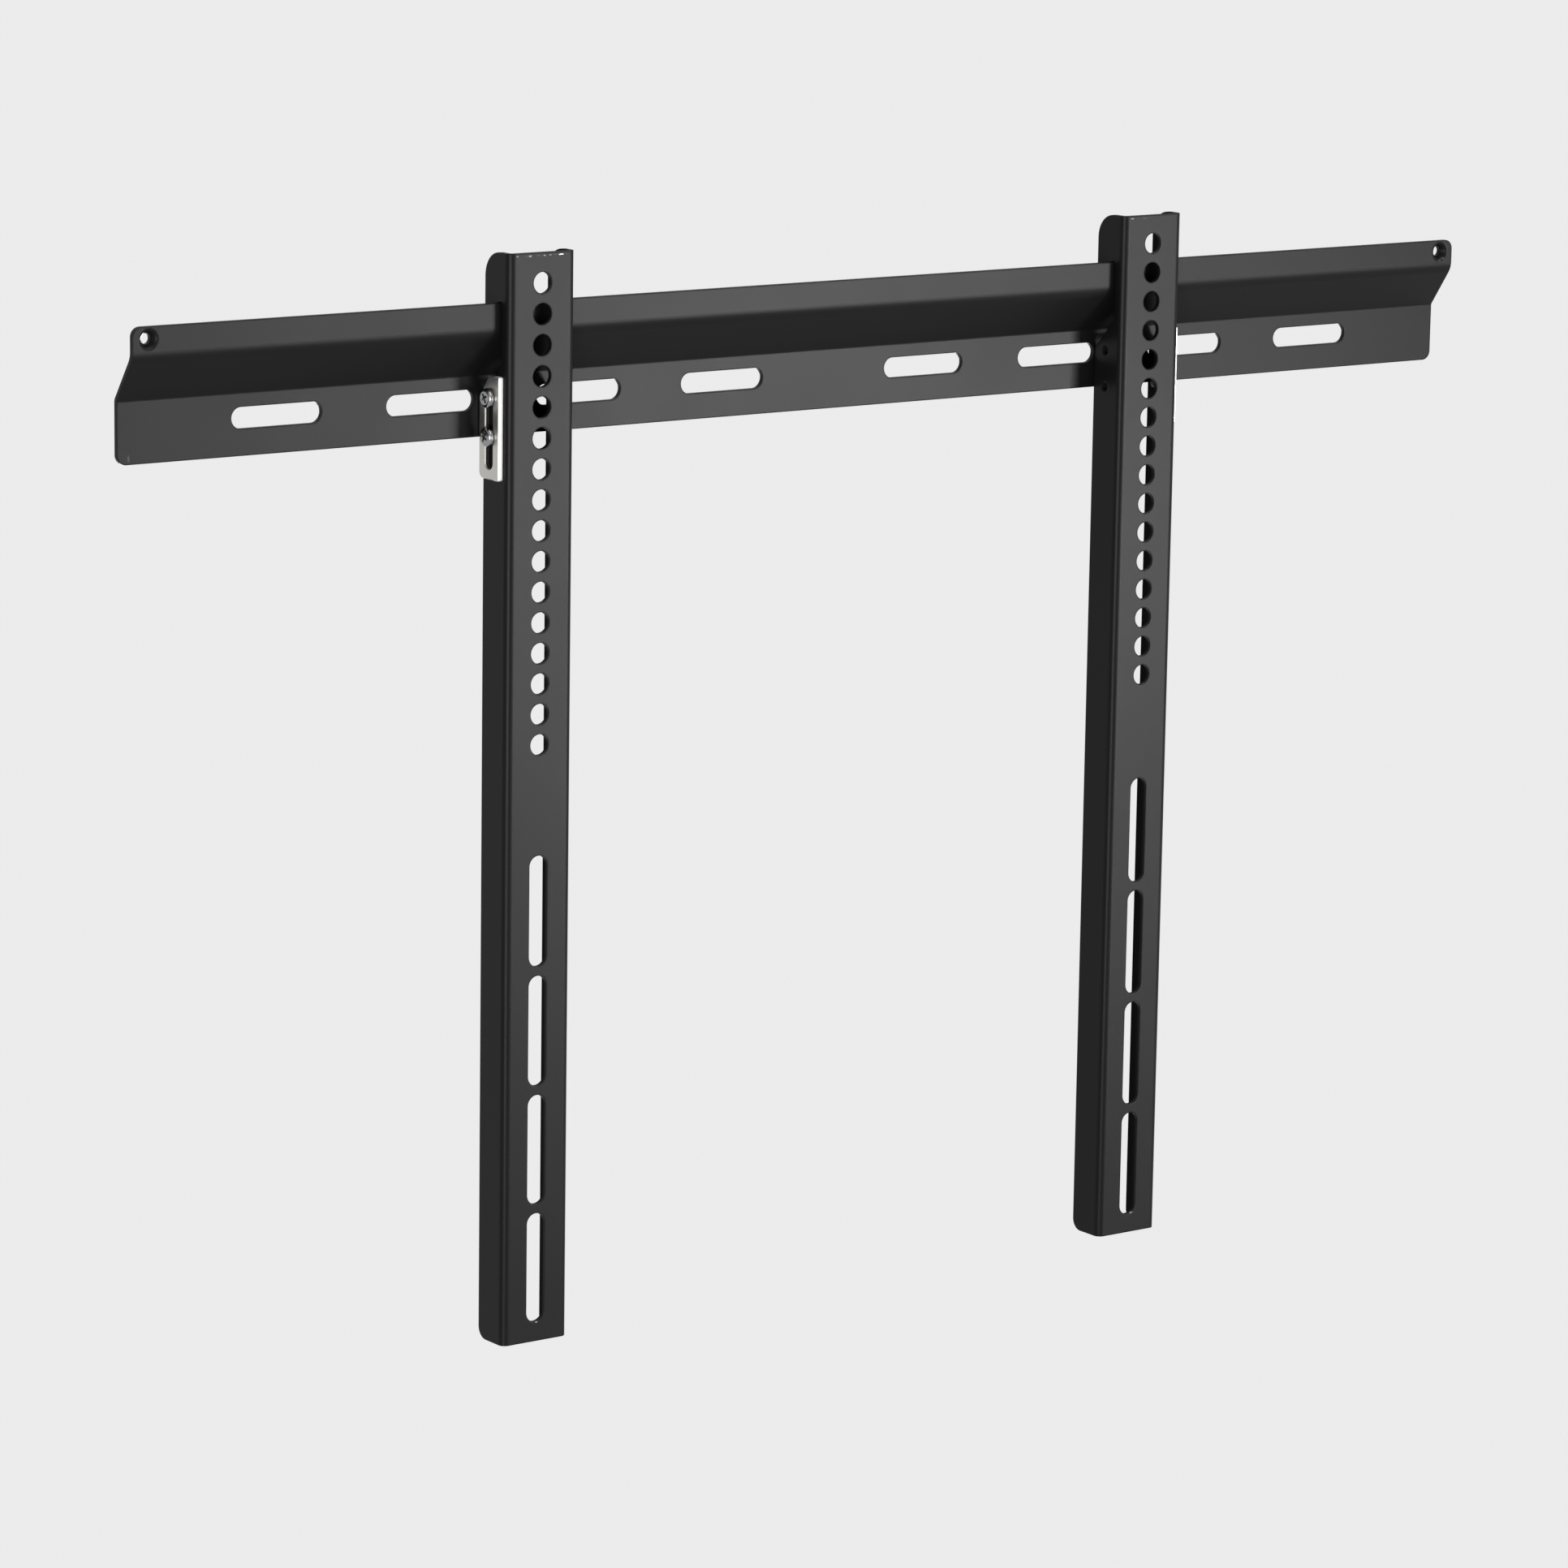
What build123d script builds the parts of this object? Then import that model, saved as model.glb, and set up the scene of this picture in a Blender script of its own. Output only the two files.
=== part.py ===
"""Fixed television wall bracket: a folded wall rail, two hook-on channel arms and a sliding lock on each arm.

Millimetres. X runs along the wall to the right as seen from the room, Y runs into the wall and Z is up.
The wall is the plane y = 0, and z = 0 is the line of the rail's wall slots.
"""
import os

from build123d import *

# Wall rail, one strip of sheet folded twice: the lower flange lies on the wall, the top flange stands off it
rail_length = 675.0
rail_sheet = 2.0
rail_below_slots = 15.0
lower_fold_height = 10.2
web_height = 17.6
top_flange_height = 12.2
rail_stand_off = 12.3
lower_fold_inside = 1.5
upper_fold_outside = 9.0
rail_corner_radius = 4.0

# Wall slots, a row of equal slots on each side of the middle
wall_slot_length = 41.3
wall_slot_width = 8.6
wall_slot_pitch = 71.25
first_wall_slot = 52.0
wall_slot_end_margin = 40.0

# Pressed stops at the ends of the top flange, funnels that narrow to a hole
stop_from_end = 7.1
stop_below_top = 5.0
stop_press_depth = 2.4
stop_hole_radius = 2.1
stop_rim_radius = 3.75
stop_rim_round = 1.3
stop_wall = 1.2

# Arms, two equal channels folded from sheet
arm_length = 450.0
arm_width = 32.0
arm_depth = 18.0
arm_sheet = 2.0
arm_bend_inside = 1.0
arm_top_radius = 10.0
arm_bottom_radius = 5.0
arm_above_rail = 20.0
left_arm_x = -153.2
right_arm_x = 160.4

# Holes and slots for the screen's bolts, down the middle of an arm's front face
bolt_hole_diameter = 8.7
bolt_hole_pitch = 12.5
bolt_hole_count = 16
first_bolt_hole = 12.2
bolt_slot_pitch = 50.0
bolt_slot_bridge = 3.8
first_bolt_slot = 268.6
bolt_slot_end_margin = 8.0

# Hook and mouth in both flanges of an arm, from the rail's folds
rail_clearance = 0.3
hook_reach = 8.0
hook_set_back = 0.6
hook_tip_radius = 1.2
mouth_front_gap = 0.7
mouth_front_length = 25.5
mouth_corner_radius = 1.5

# Lock plates, one on the outer flange of each arm, slotted over two screws
plate_depth = 14.4
plate_sheet = 2.0
plate_play = 0.25
plate_slot_width = 5.2
plate_travel = 10.5
plate_above_screw = 9.0
plate_below_slot = 4.3
plate_ramp_depth = 6.9
plate_ramp_height = 9.3
plate_back_radius = 3.0
plate_edge_radius = 1.0
plate_edge_break = 0.4

# Lock screws, low heads with a cross recess, in threaded holes of the flanges
screw_below_rail = 38.5
screw_spacing = 15.6
screw_diameter = 4.0
screw_thread_play = 0.05
screw_length = 8.0
head_diameter = 8.0
head_height = 2.2
recess_width = 1.1
recess_span = 4.4
recess_depth = 1.4
recess_taper = 12.0

# How far a cutter starts and ends outside the sheet that it cuts
cut_margin = 1.0

# Places that follow from the sizes above
upper_fold_height = lower_fold_height + web_height
rail_top = upper_fold_height + top_flange_height
lower_fold_middle = lower_fold_inside + rail_sheet / 2
upper_fold_middle = upper_fold_outside - rail_sheet / 2
rail_front = -rail_sheet
flange_back = -rail_stand_off
flange_front = flange_back - rail_sheet
arm_rear = rail_front - rail_clearance
arm_front = arm_rear - arm_depth
arm_top = rail_top + arm_above_rail
arm_bottom = arm_top - arm_length
stop_x = rail_length / 2 - stop_from_end
stop_z = rail_top - stop_below_top
stop_back_radius = stop_rim_radius + stop_wall
stop_draft = stop_rim_radius - stop_hole_radius
plate_rear = arm_rear
plate_middle = plate_rear - plate_depth / 2
upper_screw_z = rail_top - screw_below_rail
lower_screw_z = upper_screw_z - screw_spacing
plate_top = upper_screw_z + plate_above_screw
plate_slot_top = upper_screw_z + plate_slot_width / 2
plate_slot_length = screw_spacing + plate_travel + plate_slot_width
plate_bottom = plate_slot_top - plate_slot_length - plate_below_slot
bolt_slot_length = bolt_slot_pitch - bolt_slot_bridge
front_plane = Plane(origin=(0, 0, 0), x_dir=(1, 0, 0), z_dir=(0, -1, 0))
side_plane = Plane(origin=(0, 0, 0), x_dir=(0, 1, 0), z_dir=(1, 0, 0))


def round_corners(face, corners):
    """Round a face's corners, given as (point, radius)."""
    for point, radius in corners:
        nearest = face.vertices().sort_by_distance(Vector(*point))[0]
        face = fillet(nearest, radius)
    return face


def through_front(sketch, front, depth):
    """Turn a drawing on the front plane into a cutter that starts a little before a front face."""
    return Pos(0, front - cut_margin, 0) * extrude(front_plane * sketch, -(depth + 2 * cut_margin))


def places_along(first, pitch, last):
    """Evenly spaced places from the first one, as many as fit up to the last."""
    return [first + index * pitch for index in range(1 + int((last - first) // pitch))]


def rail_strip():
    """The rail's folded section, carried along the wall and cut to a rounded outline."""
    middle = [
        (-rail_sheet / 2, -rail_below_slots),
        (-rail_sheet / 2, lower_fold_height),
        (-rail_stand_off - rail_sheet / 2, upper_fold_height),
        (-rail_stand_off - rail_sheet / 2, rail_top),
    ]
    folded = FilletPolyline(*middle, radius=(lower_fold_middle, upper_fold_middle))
    section = trace(folded, line_width=rail_sheet)
    strip = extrude(side_plane * section, rail_length / 2, both=True)
    outline = Pos(0, (rail_top - rail_below_slots) / 2) * RectangleRounded(
        rail_length, rail_below_slots + rail_top, rail_corner_radius
    )
    return strip & through_front(outline, flange_front, rail_stand_off + rail_sheet)


def wall_slot_places():
    """Centres of the wall slots along the rail."""
    last = rail_length / 2 - wall_slot_end_margin - wall_slot_length / 2
    one_side = places_along(first_wall_slot, wall_slot_pitch, last)
    return [-x for x in reversed(one_side)] + one_side


def pressed_stop(x):
    """What a pressed stop adds behind the top flange, and what it takes away in front."""
    toward_wall = Plane(origin=(x, flange_back, stop_z), x_dir=(1, 0, 0), z_dir=(0, 1, 0))
    from_front = Plane(origin=(x, flange_front, stop_z), x_dir=(1, 0, 0), z_dir=(0, 1, 0))
    grounded = (Align.CENTER, Align.CENTER, Align.MIN)
    back = toward_wall * Cone(
        stop_back_radius, stop_back_radius - stop_draft, stop_press_depth, align=grounded
    )
    funnel = from_front * Cone(stop_rim_radius, stop_hole_radius, stop_press_depth, align=grounded)
    hole = from_front * Cylinder(stop_hole_radius, stop_press_depth + 2 * rail_sheet, align=grounded)
    return back, funnel + hole


def wall_rail():
    """The rail with its wall slots and end stops."""
    rail = rail_strip()
    slots = Sketch() + [
        Pos(x, 0) * SlotOverall(wall_slot_length, wall_slot_width) for x in wall_slot_places()
    ]
    rail -= through_front(slots, rail_front, rail_sheet)
    for x in (-stop_x, stop_x):
        back, front = pressed_stop(x)
        rail = rail + back - front
    rims = rail.edges().filter_by(GeomType.CIRCLE).filter_by_position(
        Axis.Y, flange_front, flange_front
    )
    rims = rims.filter_by(lambda edge: abs(edge.radius - stop_rim_radius) < stop_rim_radius / 100)
    return fillet(rims, stop_rim_round)


def arm_section():
    """The arm's channel section, open towards the wall."""
    middle = (arm_front + arm_rear) / 2
    inside_width = arm_width - 2 * arm_sheet
    outer = Pos(0, middle) * Rectangle(arm_width, arm_depth)
    inner = Pos(0, middle + arm_sheet) * Rectangle(inside_width, arm_depth)
    outside_bend = arm_bend_inside + arm_sheet
    outer = round_corners(
        outer, [((side * arm_width / 2, arm_front), outside_bend) for side in (-1, 1)]
    )
    inner = round_corners(
        inner, [((side * inside_width / 2, arm_front + arm_sheet), arm_bend_inside) for side in (-1, 1)]
    )
    return outer - inner


def arm_side_outline():
    """The arm from the side: the hook that drops behind the top flange, and the ramped mouth below it."""
    seat = rail_top + rail_clearance
    hook_rear = arm_rear - hook_set_back
    hook_front = flange_back + rail_clearance
    hook_tip = seat - hook_reach
    mouth_front = flange_front - mouth_front_gap
    mouth_low = seat - mouth_front_length
    ramp_end = mouth_low - (arm_rear - mouth_front)
    top_rear = (hook_rear, arm_top)
    tip_rear = (hook_rear, hook_tip)
    tip_front = (hook_front, hook_tip)
    ramp_top = (mouth_front, mouth_low)
    bottom_rear = (arm_rear, arm_bottom)
    corners = [
        (arm_front, arm_top),
        top_rear,
        tip_rear,
        tip_front,
        (hook_front, seat),
        (mouth_front, seat),
        ramp_top,
        (arm_rear, ramp_end),
        bottom_rear,
        (arm_front, arm_bottom),
    ]
    outline = make_face(Polyline(*corners, close=True))
    return round_corners(
        outline,
        [
            (top_rear, arm_top_radius),
            (tip_rear, hook_tip_radius),
            (tip_front, hook_tip_radius),
            (ramp_top, mouth_corner_radius),
            (bottom_rear, arm_bottom_radius),
        ],
    )


def arm_bolt_pattern():
    """The round holes and the slots of an arm's front face, drawn on the front plane."""
    holes = [
        Pos(0, arm_top - first_bolt_hole - index * bolt_hole_pitch) * Circle(bolt_hole_diameter / 2)
        for index in range(bolt_hole_count)
    ]
    last_slot = arm_length - bolt_slot_end_margin - bolt_slot_length / 2
    slots = [
        Pos(0, arm_top - below) * SlotOverall(bolt_slot_length, bolt_hole_diameter, rotation=90)
        for below in places_along(first_bolt_slot, bolt_slot_pitch, last_slot)
    ]
    return Sketch() + holes + slots


def arm():
    """One arm, about x = 0: the folded channel, cut to its side outline, with its holes."""
    channel = Pos(0, 0, arm_bottom) * extrude(arm_section(), arm_length)
    channel = channel & extrude(side_plane * arm_side_outline(), arm_width, both=True)
    channel -= through_front(arm_bolt_pattern(), arm_front, arm_sheet)
    threaded = screw_diameter / 2 + screw_thread_play
    for z in (upper_screw_z, lower_screw_z):
        channel -= Pos(0, plate_middle, z) * Cylinder(threaded, 2 * arm_width, rotation=(0, 90, 0))
    return channel


def lock_plate():
    """The lock plate of the right arm, about the arm's own middle: a ramped plate with one long slot.

    The edges of its outer face are broken, as a punch leaves them.
    """
    plate_front = plate_rear - plate_depth
    top_front = (plate_front, plate_top)
    bottom_rear = (plate_rear, plate_bottom)
    bottom_front = (plate_front, plate_bottom)
    corners = [
        top_front,
        (plate_rear - plate_ramp_depth, plate_top),
        (plate_rear, plate_top - plate_ramp_height),
        bottom_rear,
        bottom_front,
    ]
    outline = round_corners(
        make_face(Polyline(*corners, close=True)),
        [
            (top_front, plate_edge_radius),
            (bottom_rear, plate_back_radius),
            (bottom_front, plate_edge_radius),
        ],
    )
    slot = Pos(plate_middle, plate_slot_top - plate_slot_length / 2) * SlotOverall(
        plate_slot_length, plate_slot_width, rotation=90
    )
    plate = Pos(arm_width / 2 + plate_play, 0, 0) * extrude(side_plane * (outline - slot), plate_sheet)
    outer_face = plate.faces().sort_by(Axis.X)[-1]
    return chamfer(outer_face.edges(), plate_edge_break)


def lock_screw(z):
    """A lock screw of the right arm, about the arm's own middle: head outside, shank into the flange."""
    seat = arm_width / 2 + plate_play + plate_sheet + plate_play
    outward = Plane(origin=(seat, plate_middle, z), x_dir=(0, 1, 0), z_dir=(1, 0, 0))
    inward = Plane(origin=(seat, plate_middle, z), x_dir=(0, 1, 0), z_dir=(-1, 0, 0))
    crown = Plane(origin=(seat + head_height, plate_middle, z), x_dir=(0, 1, 0), z_dir=(-1, 0, 0))
    grounded = (Align.CENTER, Align.CENTER, Align.MIN)
    head = Cylinder(head_diameter / 2, head_height, align=grounded)
    shank = Cylinder(screw_diameter / 2, screw_length, align=grounded)
    recess = extrude(Rectangle(recess_span, recess_width), recess_depth, taper=recess_taper)
    recess += extrude(Rectangle(recess_width, recess_span), recess_depth, taper=recess_taper)
    return outward * head + inward * shank - crown * recess


def lock_set(arm_x, facing):
    """The plate and the two screws of one arm; facing is 1 on the right arm and -1 on the left."""
    pieces = {
        "lock_plate": lock_plate(),
        "upper_lock_screw": lock_screw(upper_screw_z),
        "lower_lock_screw": lock_screw(lower_screw_z),
    }
    if facing < 0:
        pieces = {name: mirror(piece, about=Plane.YZ) for name, piece in pieces.items()}
    return {name: Pos(arm_x, 0, 0) * piece for name, piece in pieces.items()}


def bracket():
    """Every piece of the bracket by name."""
    pieces = {"wall_rail": wall_rail()}
    one_arm = arm()
    for side, arm_x, facing in (("left", left_arm_x, -1), ("right", right_arm_x, 1)):
        pieces[f"{side}_arm"] = Pos(arm_x, 0, 0) * one_arm
        for name, piece in lock_set(arm_x, facing).items():
            pieces[f"{side}_{name}"] = piece
    return pieces


os.makedirs("parts", exist_ok=True)
for node, shape in bracket().items():
    export_step(shape, f"parts/{node}.step")
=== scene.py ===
"""Looks of a fixed wall bracket for a television.

A folded wall rail carries two hooked channel arms, all in satin black powder coat.  On each arm a
plate of bare steel with two bright zinc screws locks the hook to the rail.  The sheet pieces keep
the shapes of the frame and get their finish here.  The screws get their crowned heads, cross
recesses and threads here, and so do the tapped spare holes of the arms.
"""

import logging
import math
from collections.abc import Callable, Sequence
from dataclasses import dataclass
from enum import Enum
from functools import cached_property
from typing import Any

import bpy
import numpy as np
from mathutils import Matrix, Vector


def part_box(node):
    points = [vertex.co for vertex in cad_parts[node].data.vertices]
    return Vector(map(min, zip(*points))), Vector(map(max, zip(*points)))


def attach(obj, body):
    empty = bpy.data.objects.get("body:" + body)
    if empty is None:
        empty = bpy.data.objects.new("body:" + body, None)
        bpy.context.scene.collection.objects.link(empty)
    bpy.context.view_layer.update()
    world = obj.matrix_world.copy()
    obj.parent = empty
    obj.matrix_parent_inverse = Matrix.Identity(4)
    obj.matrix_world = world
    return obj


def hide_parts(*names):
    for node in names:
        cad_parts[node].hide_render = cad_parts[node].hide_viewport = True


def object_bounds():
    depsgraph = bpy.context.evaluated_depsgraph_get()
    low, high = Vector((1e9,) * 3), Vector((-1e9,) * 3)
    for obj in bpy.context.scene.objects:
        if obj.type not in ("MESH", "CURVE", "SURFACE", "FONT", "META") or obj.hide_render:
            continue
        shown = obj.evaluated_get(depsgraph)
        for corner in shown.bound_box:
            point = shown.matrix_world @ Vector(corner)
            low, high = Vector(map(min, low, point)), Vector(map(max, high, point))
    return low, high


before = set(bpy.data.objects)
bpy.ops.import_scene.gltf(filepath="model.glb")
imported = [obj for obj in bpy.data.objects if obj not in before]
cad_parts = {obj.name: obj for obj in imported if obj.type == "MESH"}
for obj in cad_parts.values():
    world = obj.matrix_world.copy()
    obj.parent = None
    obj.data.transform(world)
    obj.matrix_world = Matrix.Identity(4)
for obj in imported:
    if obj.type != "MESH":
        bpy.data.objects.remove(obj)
CAD_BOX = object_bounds()

LOG = logging.getLogger("wall_bracket")
MM = 0.001
FULL_TURN = 2 * math.pi
Triple = tuple[float, float, float]


class Side(Enum):
    """Which of the two arms a piece belongs to."""

    LEFT = "left"
    RIGHT = "right"

    @property
    def outward(self) -> int:
        """Sign along X of the way from the rail's middle to this arm."""
        return -1 if self is Side.LEFT else 1

    def of(self, piece: str) -> str:
        """Name of this side's own copy of a piece."""
        return f"{self.value}_{piece}"


class Slot(Enum):
    """The record's material slots."""

    COAT = "black_powder_coat"
    STEEL = "bare_steel"
    ZINC = "bright_zinc"


class NodeSheet:
    """One node tree, with short calls that add its nodes and join them."""

    # Places of the Mix node's share, first and second input and of its result, whose names repeat.
    NUMBER_INPUTS = (0, 2, 3)
    NUMBER_RESULT = 0
    COLOUR_INPUTS = (0, 6, 7)
    COLOUR_RESULT = 2

    def __init__(self, tree: bpy.types.NodeTree) -> None:
        """Keeps the tree.

        Args:
            tree: The material's, world's or group's node tree.
        """
        self.tree = tree

    def fill(self, node: bpy.types.Node, inputs: dict[Any, Any]) -> None:
        """Joins a node's inputs to outputs, or gives them plain values.

        Args:
            node: The node.
            inputs: For each input, by name or number, a plain value or the output that feeds it.
        """
        for key, value in inputs.items():
            if isinstance(value, bpy.types.NodeSocket):
                self.tree.links.new(value, node.inputs[key])
            else:
                node.inputs[key].default_value = value

    def add(
        self, kind: str, inputs: dict[Any, Any] | None = None, **settings: Any
    ) -> bpy.types.Node:
        """Adds a node, sets it up and joins its inputs.

        Args:
            kind: The node's type, without the leading ShaderNode.
            inputs: As for fill.
            settings: The node's own properties.

        Returns:
            The new node.
        """
        node = self.tree.nodes.new(f"ShaderNode{kind}")
        for name, value in settings.items():
            setattr(node, name, value)
        self.fill(node, inputs or {})
        return node

    def place(self, group: bpy.types.NodeTree, inputs: dict[str, Any]) -> bpy.types.Node:
        """Places a shared node group.

        Args:
            group: The group to place.
            inputs: As for fill.

        Returns:
            The group's node.
        """
        return self.add("Group", inputs, node_tree=group)

    def math(self, operation: str, first: Any, second: Any = 0.0) -> bpy.types.NodeSocket:
        """Joins two values by one sum.

        Args:
            operation: The Math node's operation.
            first: A plain value or an output.
            second: A plain value or an output.

        Returns:
            The result's output.
        """
        return self.add("Math", {0: first, 1: second}, operation=operation).outputs[0]

    def ramp(self, value: Any, zero: float, one: float) -> bpy.types.NodeSocket:
        """Carries a value over to the range 0 to 1.

        Args:
            value: The output to carry over.
            zero: What becomes 0.
            one: What becomes 1.

        Returns:
            The result's output.
        """
        ends = {"From Min": zero, "From Max": one}
        return self.add("MapRange", {"Value": value, **ends}).outputs["Result"]

    def around(self, value: Any, middle: float, reach: float) -> bpy.types.NodeSocket:
        """Carries a value from the range 0 to 1 over to a range about a middle.

        Args:
            value: The output to carry over.
            middle: What a half becomes.
            reach: How far from the middle 0 and 1 come to lie.

        Returns:
            The result's output.
        """
        ends = {"To Min": middle - reach, "To Max": middle + reach}
        return self.add("MapRange", {"Value": value, **ends}).outputs["Result"]

    def bumped(self, height: Any, normal: Any) -> bpy.types.NodeSocket:
        """The surface's direction, tilted as a small relief would tilt it.

        Args:
            height: The relief's height in metres.
            normal: The direction without it.

        Returns:
            The direction's output.
        """
        bump = self.add("Bump", {"Height": height, "Normal": normal, "Distance": 1.0})
        return bump.outputs["Normal"]

    def blend(self, share: Any, first: Any, second: Any) -> bpy.types.NodeSocket:
        """Mixes two numbers.

        Args:
            share: How much of the second number shows, from 0 to 1.
            first: A number or an output.
            second: A number or an output.

        Returns:
            The mixed number's output.
        """
        inputs = dict(zip(self.NUMBER_INPUTS, (share, first, second)))
        return self.add("Mix", inputs, data_type="FLOAT").outputs[self.NUMBER_RESULT]

    def mix(self, share: Any, first: Any, second: Any) -> bpy.types.NodeSocket:
        """Mixes two colours.

        Args:
            share: How much of the second colour shows, from 0 to 1.
            first: A colour or an output.
            second: A colour or an output.

        Returns:
            The mixed colour's output.
        """
        inputs = dict(zip(self.COLOUR_INPUTS, (share, first, second)))
        return self.add("Mix", inputs, data_type="RGBA").outputs[self.COLOUR_RESULT]


def rgba(colour: Triple) -> tuple[float, float, float, float]:
    """A colour with its full alpha."""
    return (*colour, 1.0)


def new_group(
    name: str, inputs: dict[str, tuple[str, Any]], outputs: dict[str, str]
) -> tuple[NodeSheet, bpy.types.Node, bpy.types.Node]:
    """Starts a shared node group.

    Args:
        name: The group's name.
        inputs: For each input its socket type and, apart from vectors, its default.
        outputs: For each output its socket type.

    Returns:
        The group's sheet, the node that hands in its inputs and the node that takes its outputs.
    """
    tree = bpy.data.node_groups.new(name, "ShaderNodeTree")
    for label, (kind, default) in inputs.items():
        socket = tree.interface.new_socket(label, in_out="INPUT", socket_type=kind)
        if default is not None:
            socket.default_value = default
    for label, kind in outputs.items():
        tree.interface.new_socket(label, in_out="OUTPUT", socket_type=kind)
    return NodeSheet(tree), tree.nodes.new("NodeGroupInput"), tree.nodes.new("NodeGroupOutput")


@dataclass(frozen=True)
class SharedEffects:
    """The node groups that several finishes use, each built once, when it is first asked for."""

    grain_size: float = 0.5 * MM
    grain_detail: float = 2.0
    cloud_size: float = 30 * MM
    cloud_detail: float = 3.0
    edge_radius: float = 0.3 * MM
    edge_samples: int = 6
    flat_agreement: float = 0.995
    edge_agreement: float = 0.85
    ragged_size: float = 0.4 * MM
    ragged_detail: float = 2.0
    ragged_push: float = 0.9
    rim_outside: float = 1.1
    rim_inside: float = 0.8

    @staticmethod
    def noise(sheet: NodeSheet, spot: Any, size: Any, detail: float) -> bpy.types.NodeSocket:
        """Noise from 0 to 1 in cells of a size.

        Args:
            sheet: The tree to work in.
            spot: The coordinates' output.
            size: The output that gives the cells' size.
            detail: How many finer layers the noise has.

        Returns:
            The noise's output.
        """
        scale = sheet.math("DIVIDE", 1.0, size)
        inputs = {"Vector": spot, "Scale": scale, "Detail": detail}
        return sheet.add("TexNoise", inputs).outputs["Fac"]

    @cached_property
    def grain(self) -> bpy.types.NodeTree:
        """Fine grain and broad cloudiness of a finish.

        Grain is noise in cells of Grain Size, and Cloud is slow noise in patches of Cloud Size.

        Returns:
            The group.
        """
        sheet, given, result = new_group(
            "fine_grain",
            {
                "Vector": ("NodeSocketVector", None),
                "Grain Size": ("NodeSocketFloat", self.grain_size),
                "Cloud Size": ("NodeSocketFloat", self.cloud_size),
            },
            {"Grain": "NodeSocketFloat", "Cloud": "NodeSocketFloat"},
        )
        spot = given.outputs["Vector"]
        for label, detail in (("Grain", self.grain_detail), ("Cloud", self.cloud_detail)):
            noise = self.noise(sheet, spot, given.outputs[f"{label} Size"], detail)
            sheet.fill(result, {label: noise})
        return sheet.tree

    @cached_property
    def soft_edges(self) -> bpy.types.NodeTree:
        """Edges broken by Radius, as on sheared sheet and turned metal.

        Normal is the surface's direction with each edge rounded off, and Edge is how far it leans
        away from the face's own direction, from 0 on the flat to 1 on an edge.

        Returns:
            The group.
        """
        sheet, given, result = new_group(
            "soft_edges",
            {"Radius": ("NodeSocketFloat", self.edge_radius)},
            {"Normal": "NodeSocketVector", "Edge": "NodeSocketFloat"},
        )
        bevel = sheet.add("Bevel", {"Radius": given.outputs["Radius"]}, samples=self.edge_samples)
        rounded = bevel.outputs["Normal"]
        flat = sheet.add("NewGeometry").outputs["Normal"]
        agree = sheet.add("VectorMath", {0: rounded, 1: flat}, operation="DOT_PRODUCT")
        lean = sheet.ramp(agree.outputs["Value"], self.flat_agreement, self.edge_agreement)
        sheet.fill(result, {"Normal": rounded, "Edge": lean})
        return sheet.tree

    @cached_property
    def mark(self) -> bpy.types.NodeTree:
        """One chip or scuff with a ragged rim.

        Mask is 1 inside an ellipsoid of half-size Reach about Place and 0 outside it, with the rim
        pushed in and out by noise of the size Ragged Size.

        Returns:
            The group.
        """
        sheet, group_input, result = new_group(
            "wear_mark",
            {
                "Vector": ("NodeSocketVector", None),
                "Place": ("NodeSocketVector", None),
                "Reach": ("NodeSocketVector", None),
                "Ragged Size": ("NodeSocketFloat", self.ragged_size),
            },
            {"Mask": "NodeSocketFloat"},
        )
        given = group_input.outputs
        spot = given["Vector"]
        away = sheet.add("VectorMath", {0: spot, 1: given["Place"]}, operation="SUBTRACT")
        inputs = {0: away.outputs[0], 1: given["Reach"]}
        share = sheet.add("VectorMath", inputs, operation="DIVIDE")
        length = sheet.add("VectorMath", {0: share.outputs[0]}, operation="LENGTH")
        noise = self.noise(sheet, spot, given["Ragged Size"], self.ragged_detail)
        push = sheet.around(noise, 0.0, self.ragged_push)
        ragged = sheet.math("ADD", length.outputs["Value"], push)
        sheet.fill(result, {"Mask": sheet.ramp(ragged, self.rim_outside, self.rim_inside)})
        return sheet.tree


class Wear(Enum):
    """What a mark in the coat shows: its colour and how far it is metal."""

    BARE = ((0.72, 0.71, 0.68), 1.0)
    THIN = ((0.24, 0.24, 0.235), 0.0)
    RUBBED = ((0.045, 0.045, 0.045), 0.0)
    DARK = ((0.004, 0.004, 0.004), 0.0)

    def __init__(self, colour: Triple, metal: float) -> None:
        """Keeps the two by name.

        Args:
            colour: Colour of what the mark shows.
            metal: 1 where that is metal.
        """
        self.colour = colour
        self.metal = metal


@dataclass(frozen=True)
class Mark:
    """One place where the coat is worn."""

    place: Triple
    reach: Triple
    wear: Wear


@dataclass(frozen=True)
class Hollow:
    """Inside of a channel that opens along +Y, where the sprayed powder lies thin and dull, and a
    painted shade darkens it.
    """

    middle: float
    half_width: float
    floor: float

    def mask(self, sheet: NodeSheet, spot: bpy.types.NodeSocket) -> bpy.types.NodeSocket:
        """1 inside the channel and 0 outside it.

        Args:
            sheet: The tree to work in.
            spot: The surface's Object coordinates.

        Returns:
            The mask's output.
        """
        place = sheet.add("SeparateXYZ", {"Vector": spot}).outputs
        aside = sheet.math("ABSOLUTE", sheet.math("SUBTRACT", place["X"], self.middle))
        between = sheet.math("LESS_THAN", aside, self.half_width)
        return sheet.math("MULTIPLY", between, sheet.math("GREATER_THAN", place["Y"], self.floor))


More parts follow.
